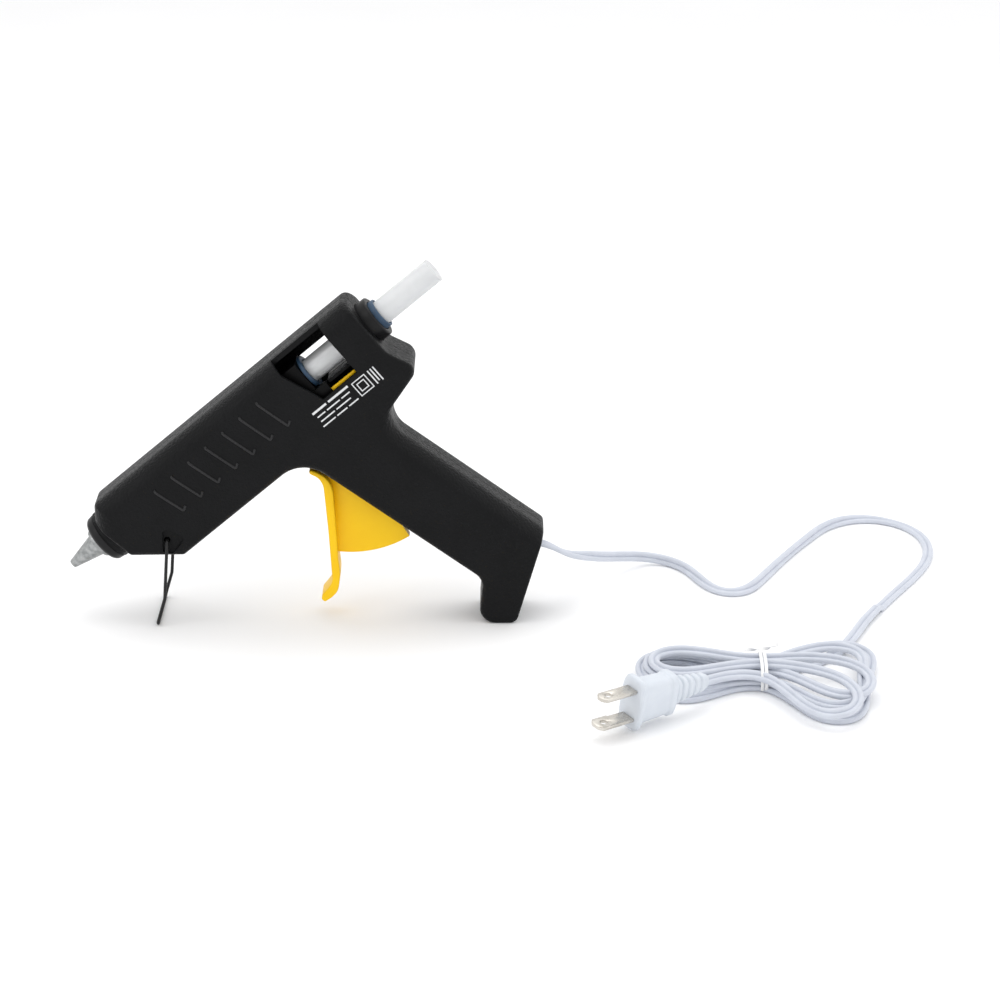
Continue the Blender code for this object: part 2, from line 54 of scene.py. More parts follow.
BARREL = Matrix.Translation(NOZZLE_TIP * MM) @ Matrix.Rotation(-BARREL_TILT, 4, "Y")
WORLD = Matrix.Identity(4)

# The body, as the model has it.
HALF_WIDTH = 15.5
WALL = 2.2
BROAD = 9.0
TIGHT = 1.5
SOFT = 3.0
TOE_LENGTH = 16.8
TOE_HEEL = (137.6, -145.0)
TOE_TIP = (
    TOE_HEEL[0] - TOE_LENGTH * math.cos(BARREL_TILT),
    TOE_HEEL[1] + TOE_LENGTH * math.sin(BARREL_TILT),
)
# Corner, fillet in side view, and how round the edge to the next corner is across the body.
SHELL_CORNERS = (
    ((29.0, 16.5), 3.0, BROAD),
    ((175.2, 16.5), 3.0, TIGHT),
    ((175.2, -12.5), 10.0, TIGHT),
    ((181.6, -26.9), 5.0, SOFT),
    ((152.3, -35.2), 13.0, BROAD),
    ((174.2, -120.9), 3.0, TIGHT),
    (TOE_HEEL, 4.0, TIGHT),
    (TOE_TIP, 6.0, SOFT),
    ((139.3, -119.9), 7.0, SOFT),
    ((114.7, -25.8), 15.0, SOFT),
    ((45.4, -25.8), 2.5, SOFT),
    ((27.5, -11.2), 2.0, TIGHT),
    ((24.0, 10.4), 2.0, BROAD),
)
SHELL_DEPTHS = (0.15, 4.0, 6.5, 8.0, 9.5, 11.0, 12.2, 13.2, 14.0, 14.6, 15.0, 15.3, 15.45, 15.5)
CAVITY_DEPTHS = (-1.0, 6.5, 9.0, 11.0, 12.4, 13.3)
WINDOW = ((132.5, 20.0), (133.2, 9.0), (140.4, -10.6), (159.8, -10.6), (159.8, 20.0))
FAR_WINDOW = ((134.5, 5.6), (139.0, -6.4), (159.8, -6.4), (159.8, 5.6))
WINDOW_STRAP = 8.8
RAIL_LENGTH = (119.0, 158.6)
RAIL_HEIGHT = (-11.6, -9.9)
SEAT_RADIUS = 10.1
NOSE_SEAT = (15.0, 35.0)
REAR_SEAT = (165.0, 182.0)
# Blocks as x, y and z spans, y measured out from the middle of the body.
SHELF_ROOT = ((160.4, 164.6), (0.3, 14.2), (-8.2, -6.4))
STICK_SHELF = ((146.0, 162.0), (0.5, 8.2), (-8.0, -6.6))
CARRIAGE = ((128.0, 139.4), (-8.4, 8.4), (-8.8, 8.0))
GUIDE_SHOE = ((130.0, 145.4), (8.0, 11.3), (-12.7, -6.0))
SHOE_SLOT = ((129.0, 146.4), (8.5, 10.7), (-11.9, -9.6))
TRIGGER_SLOT = ((108.0, -22.0), (128.0, -22.0), (142.0, -89.0), (118.0, -89.0))
SCREW_SPOTS = ((58.0, -19.4), (98.0, -19.0), (168.5, -21.5), (149.5, -74.0), (147.5, -129.0))

SPRING_WIRE = 0.45
SPRING_SPAN = (111.0, 127.5)
SPRING_RADIUS = 7.4
SPRING_TURNS = 4

TRIGGER_PIVOT = (131.2, -37.9)
DRIVE_PIN = (136.16, -12.38)
WEB_RADIUS = 48.6
TRIGGER_PLATE = (
    (111.6, -33.4), (111.0, -34.4), (112.8, -38.8), (112.0, -42.6), (99.8, -60.0), (85.3, -79.6),
    (81.1, -80.7), (77.7, -81.3), (76.1, -82.6), (76.5, -84.5), (80.1, -85.0), (84.1, -84.5),
    (87.0, -82.3), (90.7, -78.7), (94.1, -73.5), (113.6, -47.4), (115.2, -43.8), (115.4, -40.1),
    (114.3, -36.7), (112.6, -33.4),
)

STAND_PIVOT = (44.5, -15.6)
STAND_POCKET = (
    (45.5, -11.2), (48.4, -11.6), (51.3, -19.0), (49.6, -20.4), (42.4, -21.9), (39.6, -18.4),
)
STAND_WIRE = 0.75
STAND_FOOT = Vector((-66.0, 18.5, STAND_WIRE))
STAND_KNEE = Vector((-62.7, 16.9, 12.5))
STAND_LEG_Y = 16.55

CORD_EXIT = Vector((167.7, 0, -125.7))
EXIT_TURN = math.radians(55.15)
EXIT = BARREL @ Matrix.Translation(CORD_EXIT * MM) @ Matrix.Rotation(EXIT_TURN, 4, "Y")

# World places along the cord: out of the handle, down to the floor and round to the hank.
CORD_FREE = (
    (82.9, 0, 39.8), (96.4, 0, 36.2), (104.1, 0, 34.1), (107.6, 0.8, 32.8), (111, 4.4, 29.6),
    (116, 12, 24.2), (123.4, 22.6, 18.6), (132.4, 35, 13.2), (142, 48, 8.4), (152.4, 58.6, 4.4),
    (163, 59, 2.6), (172, 49.5, 2.4), (177.4, 37, 2.4), (182, 26.6, 2.4), (186.6, 20.8, 2.4),
    (192.6, 18.4, 2.4), (198.6, 21, 2.4), (203, 27.4, 2.4), (209.4, 41, 2.4), (220.6, 65, 2.4),
    (232.4, 88, 2.4), (242, 104.5, 2.4), (253.4, 115, 2.4), (266.4, 117.6, 2.4),
    (278.6, 111, 2.4), (286.6, 97, 2.4), (288.6, 79.5, 2.4), (285.4, 60.5, 2.4),
    (277.4, 40.6, 2.4), (265, 16.5, 2.4), (250.6, -13, 2.4), (241.6, -36, 2.4),
)
# Then the turns of the hank, from the floor up, each a trip out from the tie and back.
HANK_START = ((234.5, -51, 1.6), (225, -63, 1.3), (212, -73, 1.3), (198, -79.6, 1.3))
HANK_TURNS = (
    ((184, -74, 1.3), (170, -65.5, 1.3), (158, -62.5, 1.3), (149.5, -68, 1.3), (147.2, -79, 1.3),
     (149.4, -92, 1.3), (155.4, -102, 1.3), (163.6, -106, 1.3), (172.6, -102, 1.4),
     (184, -93.5, 1.5), (192, -91, 1.6), (198, -91.4, 1.6)),
    ((204, -97, 1.6), (210.4, -108, 1.6), (215.6, -119, 1.6), (222.8, -127.4, 1.8),
     (232, -126.4, 2), (237.6, -116.4, 2.2), (239.6, -103, 2.8), (242, -87, 3.4),
     (245.6, -72, 3.8), (245.6, -60, 4), (238, -51.4, 4.1), (226, -53, 4.1), (213, -66, 4.1),
     (205.6, -74.4, 4.1), (198, -78.6, 4.1), (191, -77, 4.1)),
    ((184, -72.6, 4.1), (171, -64.5, 4.1), (158.5, -61.5, 4.1), (149.4, -66, 4.1),
     (146.2, -76, 4.1), (147.6, -88, 4.1), (154, -98, 4.1), (163.5, -102.5, 4.2),
     (173.5, -98.5, 4.3), (184, -92.3, 4.4), (192, -90.6, 4.4), (198, -91, 4.4)),
    ((204.4, -95.4, 4.4), (211.4, -104.4, 4.4), (217, -113.4, 4.5), (225, -120, 4.8),
     (233.6, -118, 5.1), (238, -108.6, 5.4), (239.4, -96, 5.8), (240.4, -85, 6.4),
     (242, -71, 6.7), (237.6, -61, 6.8), (227, -58.5, 6.8), (212, -67, 6.8),
     (198, -79.6, 6.8)),
    ((185, -74.5, 6.8), (172, -67.6, 6.8), (160.6, -65.4, 6.8), (152, -69.5, 6.8),
     (149.2, -78.5, 6.8), (151.6, -88.4, 6.8), (160, -93.4, 6.8), (172, -91.5, 6.8),
     (185, -87.5, 6.9), (198, -85.4, 7)),
    ((207, -90, 7), (214.6, -98.6, 7), (221.6, -107.8, 6.9), (230, -114, 6.9),
     (238.6, -111, 7.2), (242.6, -101, 7.8), (241, -90, 8.4), (234, -81.6, 8.9),
     (224.6, -78, 9.2), (213, -77.5, 9.4), (198, -79.8, 9.5)),
    ((186, -77.6, 9.5), (173, -72, 9.5), (161.6, -69.8, 9.5), (153.4, -74.5, 9.5),
     (151.2, -83, 9.5), (154.6, -91.5, 9.5), (163.4, -95, 9.5), (175, -91.6, 9.6),
     (187, -87, 9.7), (198, -85.6, 9.8)),
    ((208, -87.4, 9.8), (219, -91.2, 9.4), (228.4, -98.6, 9.2), (234, -109.5, 9.1),
     (235, -122, 8.6), (230, -132.6, 7.8), (220.4, -134.4, 7.2), (212.4, -124.4, 7),
     (206, -109, 7.2), (199.4, -95.8, 7.2)),
)
CORD_TO_PLUG = (
    (192.6, -91.6, 7.3), (184.6, -93.6, 7.8), (178, -99, 8.8), (172, -105.4, 9.8),
    (167, -109.8, 10.6),
)
CORD_SPACING = 1.5
CORD_WIDTH = 4.8
CORD_CORE = 1.2
# Roll of the flat cord about its own line, in degrees, against distance along it.
CORD_ROLLS = ((0, 0), (40, 15), (75, 80), (115, 75), (160, 15), (185, 60), (225, 85),
              (265, 70), (310, 0), (430, 0))
HANK_LEAN = 42
HANK_FROM = 430
HANK_EASE = 60

TIE_X = 198.0
TIE_FRONT = -95.6
TIE_BACK = -75.4
TIE_LOW = 0.5
TIE_HIGH = 12.2
TIE_TURN_OFFSET = 0.85
TIE_TAIL_TWIST = 0.2
TIE_BAND_SECTION = (
    (-0.7, 0.12), (-0.25, 0.12), (0, 0.3), (0.25, 0.12), (0.7, 0.12), (0.7, -0.12), (-0.7, -0.12),
)
TIE_TAIL_SECTION = ((-0.75, -0.16), (0.75, -0.16), (0.75, 0.16), (-0.75, 0.16))
PLUG = (
    Matrix.Translation(Vector((139.6, -135.6, 12.9)) * MM)
    @ Matrix.Rotation(math.radians(40), 4, "Z")
    @ Matrix.Rotation(math.radians(2), 4, "Y")
    @ Matrix.Rotation(math.radians(10), 4, "X")
)
BLADE_SPACING = 12.7
BLADE_LENGTH = 18.2
BLADE_HOLE = -13.4
BLADE_THICKNESS = 1.5
# Distance along the plug, its width, its height, and how square it is there.
PLUG_STATIONS = (
    (0.0, 10.4, 20.6, 3.2), (0.15, 12.0, 22.2, 3.4), (0.6, 13.2, 23.4, 3.6),
    (1.2, 13.6, 23.8, 3.8), (2.0, 13.5, 23.7, 3.8), (2.6, 12.9, 23.0, 3.6),
    (3.0, 11.4, 21.0, 3.6), (3.5, 10.7, 19.7, 3.6), (5.0, 10.6, 19.3, 3.8),
    (11.0, 10.4, 18.6, 3.8), (17.0, 10.2, 18.0, 3.8), (17.9, 10.3, 18.1, 3.8),
    (18.3, 10.9, 18.7, 3.8), (18.7, 11.4, 19.1, 3.8), (19.4, 11.5, 19.2, 3.8),
    (21.0, 11.4, 19.1, 3.8), (21.5, 11.0, 18.6, 3.6), (21.8, 9.8, 16.0, 3.4),
    (22.0, 8.4, 12.6, 3.2),
)
PLUG_END = ((41.4, 4.9, 6.4, 2.6), (42.1, 4.7, 6.0, 2.5), (42.4, 4.3, 5.4, 2.4))
RELIEF_FROM = 22.4
RELIEF_PITCH = 3.8
RELIEF_RIBS = 5
RELIEF_TAPER = 0.90
# One rib of the strain relief: distance from its start, and size against the rib's own.
RELIEF_RIB = ((0.0, 0.80), (0.3, 0.80), (0.7, 0.96), (1.1, 1.0), (2.3, 1.0), (2.7, 0.96),
              (3.1, 0.80))


# ---------------------------------------------------------------- mesh helpers

def add(name, shape, skin, body, where=BARREL, smooth=40, replaces=()):
    """Turn a bmesh in millimetres into a piece that rides on a body."""
    mesh = bpy.data.meshes.new(name)
    bmesh.ops.recalc_face_normals(shape, faces=shape.faces)
    if shape.calc_volume(signed=True) < 0:
        bmesh.ops.reverse_faces(shape, faces=shape.faces)
    shape.transform(where @ Matrix.Scale(MM, 4))
    shape.to_mesh(mesh)
    shape.free()
    mesh.materials.append(skin)
    if smooth:
        mesh.shade_smooth()
        mesh.set_sharp_from_angle(angle=math.radians(smooth))
    piece = bpy.data.objects.new(name, mesh)
    bpy.context.scene.collection.objects.link(piece)
    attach(piece, body)
    if replaces:
        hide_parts(*replaces)
    return piece


def carve(piece, operation, shape, where=BARREL):
    """Join a shape to a piece or cut it away, at once."""
    bmesh.ops.recalc_face_normals(shape, faces=shape.faces)
    if shape.calc_volume(signed=True) < 0:
        bmesh.ops.reverse_faces(shape, faces=shape.faces)
    shape.transform(where @ Matrix.Scale(MM, 4))
    mesh = bpy.data.meshes.new("tool")
    shape.to_mesh(mesh)
    shape.free()
    tool = bpy.data.objects.new("tool", mesh)
    bpy.context.scene.collection.objects.link(tool)
    step = piece.modifiers.new("tool", "BOOLEAN")
    step.operation = operation
    step.solver = "EXACT"
    step.object = tool
    settle(piece)
    bpy.data.objects.remove(tool)
    bpy.data.meshes.remove(mesh)


def settle(piece):
    """Apply a piece's modifiers to its mesh."""
    bpy.context.view_layer.update()
    seen = piece.evaluated_get(bpy.context.evaluated_depsgraph_get())
    mesh = bpy.data.meshes.new_from_object(seen)
    piece.modifiers.clear()
    piece.data = mesh


def bevel(piece, width, segments=2, angle=35):
    """Round a piece's sharp edges."""
    step = piece.modifiers.new("bevel", "BEVEL")
    step.width = width * MM
    step.segments = segments
    step.limit_method = "ANGLE"
    step.angle_limit = math.radians(angle)
    settle(piece)
    piece.data.shade_smooth()
    piece.data.set_sharp_from_angle(angle=math.radians(50))


def prism(outline, low, high):
    """Side outline drawn in x and z, pushed across from y = low to y = high."""
    shape = bmesh.new()
    face = shape.faces.new([shape.verts.new((x, low, z)) for x, z in outline])
    pushed = bmesh.ops.extrude_face_region(shape, geom=[face])
    moved = [item for item in pushed["geom"] if isinstance(item, bmesh.types.BMVert)]
    bmesh.ops.translate(shape, verts=moved, vec=(0, high - low, 0))
    return shape


def box(x, y, z):
    """Block from (low, high) spans."""
    return prism(((x[0], z[0]), (x[1], z[0]), (x[1], z[1]), (x[0], z[1])), *y)


def side_span(side, low, high):
    """Span across the body on one side of its middle, in rising order."""
    return sorted((side * low, side * high))


def side_box(side, x, y, z):
    """Block on one side of the body; its y span is measured out from the middle."""
    return box(x, side_span(side, *y), z)


def turned(profile, segments=96):
    """Profile of (x, radius) points spun about the x axis; a closed loop leaves a bore."""
    shape = bmesh.new()
    points = [shape.verts.new((x, 0, radius)) for x, radius in profile]
    edges = [shape.edges.new(pair) for pair in zip(points, points[1:])]
    if min(radius for _, radius in profile) > 0:
        edges.append(shape.edges.new((points[-1], points[0])))
    bmesh.ops.spin(
        shape, geom=points + edges, axis=(1, 0, 0), cent=(0, 0, 0),
        angle=math.tau, steps=segments, use_merge=True,
    )
    bmesh.ops.remove_doubles(shape, verts=shape.verts, dist=0.0005)
    return shape


def rounded(profile, radius, steps=4, closed=False):
    """Profile with its corners rounded; points given as (x, r, 0) keep a sharp corner."""
    corners = [Vector(point[:2]) for point in profile]
    result = []
    count = len(corners)
    for index, corner in enumerate(corners):
        ends = not closed and index in (0, count - 1)
        if ends or len(profile[index]) > 2:
            result.append(corner)
            continue
        back = corners[index - 1] - corner
        ahead = corners[(index + 1) % count] - corner
        reach = min(radius, 0.45 * back.length, 0.45 * ahead.length)
        start = corner + back.normalized() * reach
        end = corner + ahead.normalized() * reach
        for step in range(steps + 1):
            t = step / steps
            result.append((1 - t) ** 2 * start + 2 * t * (1 - t) * corner + t ** 2 * end)
    return [(point.x, point.y) for point in result]


def plain_round(span, radius, segments=64):
    """Solid cylinder along the barrel."""
    return turned(((span[0], 0), (span[0], radius), (span[1], radius), (span[1], 0)), segments)


def rod(start, end, radius, segments=32):
    """Round bar between two points."""
    start = Vector(start)
    along = Vector(end) - start
    shape = plain_round((0, along.length), radius, segments)
    turn = Vector((1, 0, 0)).rotation_difference(along).to_matrix().to_4x4()
    shape.transform(Matrix.Translation(start) @ turn)
    return shape


def merged(shapes):
    """Several shapes as one."""
    whole = bmesh.new()
    for shape in shapes:
        mesh = bpy.data.meshes.new("merged")
        bmesh.ops.recalc_face_normals(shape, faces=shape.faces)
        if shape.calc_volume(signed=True) < 0:
            bmesh.ops.reverse_faces(shape, faces=shape.faces)
        shape.to_mesh(mesh)
        shape.free()
        whole.from_mesh(mesh)
        bpy.data.meshes.remove(mesh)
    return whole


def loft(rings):
    """Skin over rings of equal point count, closed at both ends."""
    shape = bmesh.new()
    loops = [[shape.verts.new(point) for point in points] for points in rings]
    for first, second in zip(loops, loops[1:]):
        for index in range(len(first)):
            after = (index + 1) % len(first)
            shape.faces.new((first[index], first[after], second[after], second[index]))
    shape.faces.new(loops[0])
    shape.faces.new(loops[-1])
    return shape


def fillet(corner, back, ahead, radius, steps):
    """Arc points that round one corner; back and ahead are unit vectors along its edges."""
    middle = back + ahead
    half = back.angle(ahead) / 2
    centre = corner + middle.normalized() * radius / math.sin(half)
    start = corner + back * radius / math.tan(half) - centre
    end = corner + ahead * radius / math.tan(half) - centre
    sweep = start.angle_signed(end)
    return [
        centre + Matrix.Rotation(-sweep * step / steps, 2) @ start
        for step in range(steps + 1)
    ]


def across(low, high, spot, radius, side, segments=32):
    """Round bar running across the body on one side of it."""
    return rod((spot[0], side * low, spot[1]), (spot[0], side * high, spot[1]), radius, segments)


def smooth_path(points, steps=8):
    """Points along a curve that passes through every given point."""
    knots = [Vector(point) for point in points]
    knots = [2 * knots[0] - knots[1], *knots, 2 * knots[-1] - knots[-2]]
    path = []
    for before, start, end, after in zip(knots, knots[1:], knots[2:], knots[3:]):
        for step in range(steps):
            t = step / steps
            path.append(0.5 * (
                2 * start + (end - before) * t
                + (2 * before - 5 * start + 4 * end - after) * t ** 2
                + (3 * start - before - 3 * end + after) * t ** 3
            ))
    return [*path, knots[-2]]


def evenly(path, spacing):
    """The same path with its points an even distance apart."""
    travelled = [0.0]
    for start, end in zip(path, path[1:]):
        travelled.append(travelled[-1] + (end - start).length)
    count = max(round(travelled[-1] / spacing), 1)
    result = []
    index = 0
    for step in range(count + 1):
        goal = travelled[-1] * step / count
        while index < len(path) - 2 and travelled[index + 1] < goal:
            index += 1
        span = max(travelled[index + 1] - travelled[index], 1e-9)
        result.append(path[index].lerp(path[index + 1], (goal - travelled[index]) / span))
    return result


def relaxed(path, times):
    """The path with its tighter bends eased."""
    for _ in range(times):
        path = [
            path[0],
            *(0.25 * (before + after) + 0.5 * here
              for before, here, after in zip(path, path[1:], path[2:])),
            path[-1],
        ]
    return path


def swept(path, profile, rolls):
    """Profile of (side, up) points carried along a path that never stands upright."""
    rings = []
    for index, point in enumerate(path):
        along = (path[min(index + 1, len(path) - 1)] - path[max(index - 1, 0)]).normalized()
        side = along.cross(Vector((0, 0, 1))).normalized()
        up = side.cross(along)
        turn = Matrix.Rotation(rolls[index], 3, along)
        side = turn @ side
        up = turn @ up
        rings.append([point + side * x + up * z for x, z in profile])
    return loft(rings)


def circle(radius, segments):
    """Points evenly round a circle."""
    turns = [math.tau * step / segments for step in range(segments)]
    return [(radius * math.cos(turn), radius * math.sin(turn)) for turn in turns]


def tube(path, radius, segments=12):
    """Round wire along any path, its ring turned as little as possible from point to point."""
    rings = []
    side = None
    for index, point in enumerate(path):
        along = (path[min(index + 1, len(path) - 1)] - path[max(index - 1, 0)]).normalized()
        side = side or along.orthogonal()
        side = (side - along * side.dot(along)).normalized()
        up = along.cross(side)
        rings.append([point + side * x + up * z for x, z in circle(radius, segments)])
    return loft(rings)


# ---------------------------------------------------------------- materials

NOISE_MIDDLE = (0.35, 0.65)


def mix_colour(nodes, links, factor, low, high):
    """Blend of two colours by a factor socket."""
    blend = nodes.new("ShaderNodeMix")
    blend.data_type = "RGBA"
    links.new(factor, blend.inputs["Factor"])
    blend.inputs["A"].default_value = (*low, 1)
    blend.inputs["B"].default_value = (*high, 1)
    return blend.outputs["Result"]


def noise(nodes, links, place, scale, detail=4.0, rough=0.55):
    """Noise read at a place, as a factor socket."""
    texture = nodes.new("ShaderNodeTexNoise")
    texture.inputs["Scale"].default_value = scale
    texture.inputs["Detail"].default_value = detail
    texture.inputs["Roughness"].default_value = rough
    links.new(place, texture.inputs["Vector"])
    return texture.outputs["Fac"]


def spread(nodes, links, value, low, high):
    """Map the middle of a noise onto a range."""
    reach = nodes.new("ShaderNodeMapRange")
    links.new(value, reach.inputs["Value"])
    reach.inputs["From Min"].default_value = NOISE_MIDDLE[0]
    reach.inputs["From Max"].default_value = NOISE_MIDDLE[1]
    reach.inputs["To Min"].default_value = low
    reach.inputs["To Max"].default_value = high
    return reach.outputs["Result"]


def surface(name, low, high, rough, mottle=60, grain=1400, bump=0.15, depth=0.0001,
            metal=0.0, specular=0.5, stretch=(1, 1, 1), subsurface=0.0,
            transmission=0.0, ior=1.5):
    """Material with mottled colour, uneven gloss and a fine moulded or machined grain."""
    skin = bpy.data.materials.new(name)
    skin.use_nodes = True
    nodes = skin.node_tree.nodes
    links = skin.node_tree.links
    shader = nodes["Principled BSDF"]
    place = nodes.new("ShaderNodeTexCoord").outputs["Object"]
    mapping = nodes.new("ShaderNodeMapping")
    mapping.inputs["Scale"].default_value = stretch
    links.new(place, mapping.inputs["Vector"])
    place = mapping.outputs["Vector"]
    cloud = noise(nodes, links, place, mottle)
    fine = noise(nodes, links, place, grain, 2.0, 0.6)
    links.new(mix_colour(nodes, links, spread(nodes, links, cloud, 0, 1), low, high),
              shader.inputs["Base Color"])
    links.new(spread(nodes, links, fine, *rough), shader.inputs["Roughness"])
    relief = nodes.new("ShaderNodeBump")
    relief.inputs["Strength"].default_value = bump
    relief.inputs["Distance"].default_value = depth
    links.new(fine, relief.inputs["Height"])
    links.new(relief.outputs["Normal"], shader.inputs["Normal"])
    shader.inputs["Metallic"].default_value = metal
    shader.inputs["Specular IOR Level"].default_value = specular
    shader.inputs["Subsurface Weight"].default_value = subsurface
    shader.inputs["Subsurface Radius"].default_value = (0.004, 0.004, 0.004)
    shader.inputs["Transmission Weight"].default_value = transmission
    shader.inputs["IOR"].default_value = ior
    return skin


ABS = surface("moulded_abs", (0.0022, 0.0024, 0.0028), (0.0036, 0.0038, 0.0044), (0.34, 0.52),
              grain=800, bump=1.0, depth=0.0005, specular=0.15)
# Lighter copy of the moulded ABS for the ribs: a painted highlight where their raised edges catch
# the top light.
RIB_PAINTED_HIGHLIGHT = surface("rib_painted_highlight", (0.008, 0.008, 0.009), (0.012, 0.012, 0.013), (0.25, 0.40),
                  grain=1400, bump=0.2, depth=0.00005, specular=0.4)
# Darker copy of the black nylon for the carriage: painted shade for the inside of the body behind
# the window.
CARRIAGE_PAINTED_SHADE = surface("carriage_painted_shade", (0.0015, 0.0015, 0.0017), (0.0025, 0.0025, 0.0027),
                      (0.30, 0.46), grain=1600, bump=0.3, depth=0.00005, specular=0.12)
BLACK = surface("black_nylon", (0.0045, 0.0045, 0.0050), (0.0065, 0.0065, 0.0070), (0.30, 0.46),
                grain=1600, bump=0.3, depth=0.00005, specular=0.25)
YELLOW = surface("yellow_plastic", (0.94, 0.56, 0.001), (0.97, 0.60, 0.002), (0.36, 0.48),
                 grain=1500, bump=0.18, depth=0.00004, specular=0.3)
ALUMINIUM = surface("turned_aluminium", (0.27, 0.28, 0.28), (0.42, 0.43, 0.43), (0.32, 0.52),
                    mottle=500, grain=1300, bump=0.5, depth=0.00008, metal=1.0)
STEEL = surface("zinc_steel", (0.44, 0.44, 0.45), (0.56, 0.56, 0.56), (0.22, 0.38),
                mottle=200, grain=1500, bump=0.15, depth=0.00003, metal=1.0)
BLACK_WIRE = surface("black_wire", (0.006, 0.006, 0.006), (0.011, 0.011, 0.012), (0.25, 0.42),
                     mottle=150, grain=1800, bump=0.15, depth=0.00003, specular=0.3)
NICKEL = surface("nickel_blade", (0.56, 0.53, 0.48), (0.68, 0.65, 0.60), (0.24, 0.40),
                 mottle=220, grain=500, bump=0.12, depth=0.00003, metal=1.0, stretch=(1, 1, 4))
# Blue-grey for the ring, sleeve and insert round the stick: painted reflection and shade, standing
# in for the bluish sheen on the black collar's inner surface and the shaded stick inside it.
BLUE_GREY_PAINTED_REFLECTION = surface("blue_silicone", (0.022, 0.055, 0.105), (0.036, 0.080, 0.145), (0.42, 0.55),
                   grain=1200, bump=0.2, depth=0.00004, subsurface=0.05)
GLUE = surface("hot_melt_glue", (0.78, 0.79, 0.80), (0.83, 0.84, 0.85), (0.16, 0.26),
               mottle=60, grain=220, bump=0.05, depth=0.00005, subsurface=0.5,
               transmission=0.35, ior=1.48)
CORD_PVC = surface("cord_pvc", (0.55, 0.58, 0.65), (0.59, 0.62, 0.69), (0.34, 0.48),
                   mottle=120, grain=1200, bump=0.1, depth=0.00003, subsurface=0.02)
PLUG_PVC = surface("plug_pvc", (0.62, 0.66, 0.72), (0.66, 0.70, 0.755), (0.30, 0.44),
                   mottle=110, grain=1200, bump=0.12, depth=0.00003, subsurface=0.02)
TIE_PAPER = surface("tie_paper", (0.80, 0.80, 0.80), (0.86, 0.86, 0.86), (0.5, 0.7),
                    mottle=300, grain=2500, bump=0.3, depth=0.00004)
CERAMIC = surface("heater_ceramic", (0.60, 0.55, 0.48), (0.72, 0.67, 0.60), (0.55, 0.75),
                  mottle=200, grain=1800, bump=0.3, depth=0.00006)
INK = surface("white_ink", (0.62, 0.63, 0.64), (0.74, 0.75, 0.76), (0.4, 0.6),
              mottle=400, grain=2000, bump=0.1, depth=0.00002)


# ---------------------------------------------------------------- body

def edge_inset(depth, half_width, radius):
    """How far a rounded edge has pulled in at this depth from the middle of the body."""
    past = depth - (half_width - radius)
    if past <= 0:
        return 0.0
    return radius - math.sqrt(max(radius ** 2 - past ** 2, 0))


def shell_outline(depth, wall):
    """Side outline of the body at one depth, kept wall inside its outer skin."""
    count = len(SHELL_CORNERS)
    corners = [Vector(corner) for corner, _, _ in SHELL_CORNERS]
    lines = []
    for index, (_, _, edge) in enumerate(SHELL_CORNERS):
        along = (corners[(index + 1) % count] - corners[index]).normalized()
        inward = Vector((along.y, -along.x))
        inset = wall + edge_inset(depth, HALF_WIDTH - wall, max(edge - wall, 0.5))
        lines.append((corners[index] + inward * inset, along, inset))
    outline = []
    for index, (_, radius, _) in enumerate(SHELL_CORNERS):
        point, back, inset = lines[index - 1]
        base, ahead, other_inset = lines[index]
        turn = back.x * ahead.y - back.y * ahead.x
        offset = base - point
        corner = point + back * (offset.x * ahead.y - offset.y * ahead.x) / turn
        shrink = min(inset, other_inset) * (1 if turn < 0 else -1)
        steps = 6 if radius < 5 else 14
        outline += fillet(corner, -back, ahead, max(radius - shrink, 0.5), steps)
    return outline


def body_loft(side, depths, wall):
    """One side of the body through its outlines at these depths."""
    return loft([
        [(x, side * depth, z) for x, z in shell_outline(depth, wall)] for depth in depths
    ])


def half_bar(side, x_low, x_high, radius, steps=24):
    """Half of a round bar along the barrel, flat on the parting plane."""
    profile = [
        (side * (0.15 + radius * math.sin(math.pi * step / steps)),
         radius * math.cos(math.pi * step / steps))
        for step in range(steps + 1)
    ]
    return loft([[(x, y, z) for y, z in profile] for x in (x_low, x_high)])


def screw_bore(spot, side):
    """Blind bore on the left; through bore with a seat for the head on the right."""
    ends = ((10.5, 1.6), (10.5, 0)) if side < 0 else ((12.6, 1.6), (12.6, 3.2), (20, 3.2), (20, 0))
    bore = turned(((-1, 0), (-1, 1.6), *ends), 32)
    turn = Matrix.Rotation(side * math.pi / 2, 4, "Z")
    bore.transform(Matrix.Translation((spot[0], 0, spot[1])) @ turn)
    return bore


def housing(name, side):
    """One moulded half of the body; side is -1 on the left and 1 on the right."""
    shell = add(name, body_loft(side, SHELL_DEPTHS, 0), ABS, "housing", smooth=0,
                replaces=[name.removesuffix("_shell")])
    carve(shell, "UNION", half_bar(side, 22.4, 34.0, 11.8))
    carve(shell, "DIFFERENCE", body_loft(side, CAVITY_DEPTHS, WALL))
    carve(shell, "DIFFERENCE", plain_round(NOSE_SEAT, SEAT_RADIUS))
    carve(shell, "DIFFERENCE", plain_round(REAR_SEAT, SEAT_RADIUS))
    posts = [across(0.15, HALF_WIDTH - 0.8, spot, 4.2, side) for spot in SCREW_SPOTS]
    carve(shell, "UNION", merged(posts))
    carve(shell, "DIFFERENCE", merged([screw_bore(spot, side) for spot in SCREW_SPOTS]))
    window = WINDOW if side < 0 else FAR_WINDOW
    carve(shell, "DIFFERENCE", prism(window, *side_span(side, WINDOW_STRAP, 20)))
    carve(shell, "UNION", side_box(side, *SHELF_ROOT))
    carve(shell, "UNION", side_box(side, *STICK_SHELF))
    carve(shell, "DIFFERENCE", prism(TRIGGER_SLOT, *side_span(side, -1, 3.4)))
    carve(shell, "DIFFERENCE", rod((-12, 0, 0), (6, 0, 0), 4.3, 48), EXIT)
    pocket = rounded_outline(STAND_POCKET, 0.8)
    carve(shell, "DIFFERENCE", prism(pocket, *side_span(side, 14.1, 20)))
    carve(shell, "DIFFERENCE", across(8, 16, STAND_PIVOT, 1.5, side, 32))
    bevel(shell, 0.3)
    return shell


